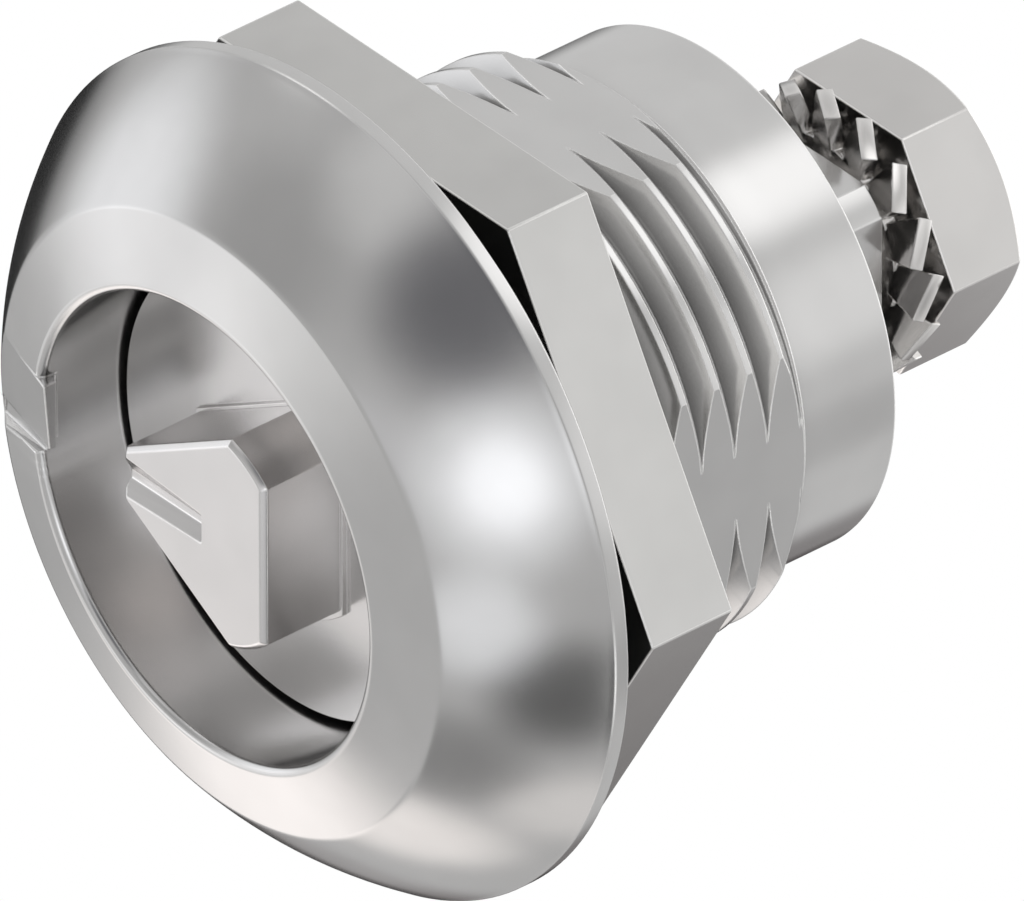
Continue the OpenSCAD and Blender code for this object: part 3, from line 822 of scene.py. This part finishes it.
# Lamps and dark cards of the tent: azimuth from +X towards +Y, elevation, half width, light added
LAMPS = (
    (90, 10, 90, (0.2, 0.2, 0.2)),
    (90, -5, 36, (0.7, 0.7, 0.7)),
    (33, 14, 22, (0.2, 0.2, 0.2)),
    (59, 51, 19, (0.55, 0.55, 0.55)),
    (38, -29, 15, (-0.12, -0.12, -0.12)),
    (-45, 12, 13, (0.42, 0.43, 0.45)),
    (-46, 12, 24, (0.4, 0.41, 0.43)),
    (-75, 14, 14, (0.1, 0.1, 0.11)),
    (-50, -20, 16, (0.38, 0.39, 0.41)),
    (-31, -36, 18, (-0.36, -0.36, -0.36)),
    (-5, -32, 16, (0.8, 0.8, 0.8)),
    (-60, -55, 17, (-0.22, -0.22, -0.22)),
    (-20, -68, 14, (0.27, 0.25, 0.24)),
    (-60, 47, 25, (-0.32, -0.32, -0.31)),
    (-120, 36, 24, (-0.11, -0.11, -0.11)),
    (-108, 60, 17, (0.14, 0.14, 0.14)),
    (-119, -12, 15, (0.3, 0.3, 0.3)),
    (-158, 8, 27, (0.45, 0.46, 0.48)),
    (-178, 52, 16, (0.6, 0.6, 0.6)),
    (-137, -14, 25, (0.42, 0.42, 0.43)),
    (-146, -53, 22, (0.7, 0.65, 0.63)),
    (-114, -76, 17, (0.52, 0.48, 0.46)),
    (154, -29, 28, (-0.56, -0.56, -0.56)),
    (170, -13, 14, (-0.22, -0.22, -0.22)),
    (136, -41, 17, (-0.38, -0.38, -0.38)),
    (152, -54, 16, (-0.14, -0.15, -0.15)),
    (114, -55, 20, (-0.34, -0.35, -0.35)),
)

# The photo's viewing angle in degrees, the middle of its frame from the latch's origin in
# millimetres, and the focal length for each millimetre of the camera's distance
AZIMUTH, ELEVATION = 49.838, 34.605
AIM_RIGHT, AIM_UP = 6.244, 0.621
FOCAL_SHARE = 1.0096


def direction(azimuth, elevation):
    """The way from the origin, with the azimuth counted from +X towards +Y."""
    a, e = math.radians(azimuth), math.radians(elevation)
    return Vector((math.cos(a) * math.cos(e), math.sin(a) * math.cos(e), math.sin(e)))


class LATCH_OT_stage(bpy.types.Operator):
    """Set up the light tent, the floor and the camera"""

    bl_idname = "latch.stage"
    bl_label = "Stage"

    def execute(self, context):
        scene, studio = context.scene, context.scene.latch_studio
        scene.view_settings.view_transform = "Standard"
        self.white_world(scene)
        self.light_tent(studio)
        self.pale_floor(studio)
        self.camera(scene, studio)
        return {"FINISHED"}

    def white_world(self, scene):
        world = scene.world or bpy.data.worlds.new("White room")
        scene.world = world
        world.use_nodes = True
        tree = world.node_tree
        tree.nodes.clear()
        sky = add_node(tree, "ShaderNodeBackground", {"Color": (1, 1, 1, 1), "Strength": 1.0})
        add_node(tree, "ShaderNodeOutputWorld", links={"Surface": sky.outputs[0]})

    def light_tent(self, studio):
        """A round tent whose walls glow in broad soft patches, for the metal to show."""
        bpy.ops.object.select_all(action="DESELECT")
        bpy.ops.mesh.primitive_uv_sphere_add(segments=96, ring_count=48, radius=studio.tent)
        tent = begin("light_tent")
        bpy.ops.mesh.normals_make_consistent(inside=True)
        bpy.ops.object.mode_set(mode="OBJECT")
        bpy.ops.object.shade_smooth()
        tent.visible_camera = False
        tent.visible_shadow = False
        material, tree = new_material("Tent cloth and lamps")
        place = add_node(tree, "ShaderNodeTexCoord")
        way = add_node(
            tree, "ShaderNodeVectorMath", links={0: place.outputs["Object"]}, operation="NORMALIZE"
        )
        cloth = add_node(tree, "ShaderNodeRGB")
        cloth.outputs[0].default_value = (CLOTH, CLOTH, CLOTH, 1)
        glow = cloth.outputs[0]
        for azimuth, elevation, width, light in LAMPS:
            near = add_node(
                tree, "ShaderNodeVectorMath", {1: direction(azimuth, elevation)},
                {0: way.outputs[0]}, operation="DOT_PRODUCT",
            )
            edge, core = (math.cos(math.radians(w)) for w in (width, width * LAMP_CORE))
            soft = span(
                tree, near.outputs["Value"], 0.0, 1.0, edge, core, interpolation_type="SMOOTHSTEP"
            )
            tone = add_node(
                tree, "ShaderNodeVectorMath", {0: light}, {"Scale": soft}, operation="SCALE"
            )
            total = add_node(
                tree, "ShaderNodeVectorMath", links={0: glow, 1: tone.outputs[0]}, operation="ADD"
            )
            glow = total.outputs[0]
        # A dark card takes light away, but never more than there is
        safe = add_node(
            tree, "ShaderNodeVectorMath", {1: (0.01, 0.01, 0.01)}, {0: glow}, operation="MAXIMUM"
        )
        lamp = add_node(
            tree, "ShaderNodeEmission", {"Strength": TENT_STRENGTH}, {"Color": safe.outputs[0]}
        )
        add_node(tree, "ShaderNodeOutputMaterial", links={"Surface": lamp.outputs[0]})
        tent.data.materials.append(material)

    def pale_floor(self, studio):
        """A plain floor, white to the camera and in reflections, pale in the light it returns."""
        bpy.ops.object.select_all(action="DESELECT")
        bpy.ops.mesh.primitive_plane_add(size=6, location=(0, 0, studio.floor))
        floor = begin("studio_floor")
        bpy.ops.object.mode_set(mode="OBJECT")
        material, tree = new_material("White studio floor")
        rays = add_node(tree, "ShaderNodeLightPath").outputs
        seen = maths(tree, "MAXIMUM", rays["Is Camera Ray"], rays["Is Glossy Ray"])
        seen = maths(tree, "MAXIMUM", seen, rays["Is Transmission Ray"])
        plain = add_node(tree, "ShaderNodeBsdfDiffuse", {"Color": (0.9, 0.9, 0.9, 1)})
        white = add_node(tree, "ShaderNodeEmission", {"Color": (1, 1, 1, 1), "Strength": 1.0})
        mix = add_node(
            tree, "ShaderNodeMixShader", links={0: seen, 1: plain.outputs[0], 2: white.outputs[0]}
        )
        add_node(tree, "ShaderNodeOutputMaterial", links={"Surface": mix.outputs[0]})
        floor.data.materials.append(material)

    def camera(self, scene, studio):
        """A long lens, so that the latch shows without perspective."""
        back = direction(AZIMUTH - 90, ELEVATION)
        right = direction(AZIMUTH, 0)
        up = back.cross(right)
        target = AIM_RIGHT * MM * right + AIM_UP * MM * up
        data = bpy.data.cameras.new("Long lens")
        data.sensor_width = 36
        data.lens = FOCAL_SHARE * studio.distance / MM
        data.clip_start, data.clip_end = 0.01, 20
        camera = bpy.data.objects.new("Camera", data)
        scene.collection.objects.link(camera)
        camera.location = target + back * studio.distance
        camera.rotation_mode = "QUATERNION"
        camera.rotation_quaternion = back.to_track_quat("Z", "Y")
        scene.camera = camera


class LATCH_PT_panel(bpy.types.Panel):
    """Sizes, finishes and steps of the latch"""

    bl_label = "Compression latch"
    bl_idname = "LATCH_PT_panel"
    bl_space_type = "VIEW_3D"
    bl_region_type = "UI"
    bl_category = "Latch"

    def draw(self, context):
        scene = context.scene
        for group in (scene.latch_sizes, scene.latch_finish, scene.latch_studio):
            for name in group.__annotations__:
                self.layout.prop(group, name)
        for step in STEPS:
            self.layout.operator(step.bl_idname)


STEPS = (
    LATCH_OT_housing, LATCH_OT_nut, LATCH_OT_driver, LATCH_OT_shaft, LATCH_OT_washer,
    LATCH_OT_bolt, LATCH_OT_inside, LATCH_OT_stage,
)
GROUPS = (LatchSizes, LatchFinish, LatchStudio)


def register():
    for item in (*GROUPS, *STEPS, LATCH_PT_panel):
        bpy.utils.register_class(item)
    bpy.types.Scene.latch_sizes = PointerProperty(type=LatchSizes)
    bpy.types.Scene.latch_finish = PointerProperty(type=LatchFinish)
    bpy.types.Scene.latch_studio = PointerProperty(type=LatchStudio)


def unregister():
    del bpy.types.Scene.latch_studio, bpy.types.Scene.latch_finish, bpy.types.Scene.latch_sizes
    for item in reversed((*GROUPS, *STEPS, LATCH_PT_panel)):
        bpy.utils.unregister_class(item)


def main():
    register()
    bpy.ops.latch.housing()
    bpy.ops.latch.nut()
    bpy.ops.latch.driver()
    bpy.ops.latch.shaft()
    bpy.ops.latch.washer()
    bpy.ops.latch.bolt()
    bpy.ops.latch.inside()
    bpy.ops.latch.stage()


if __name__ == "__main__":
    main()
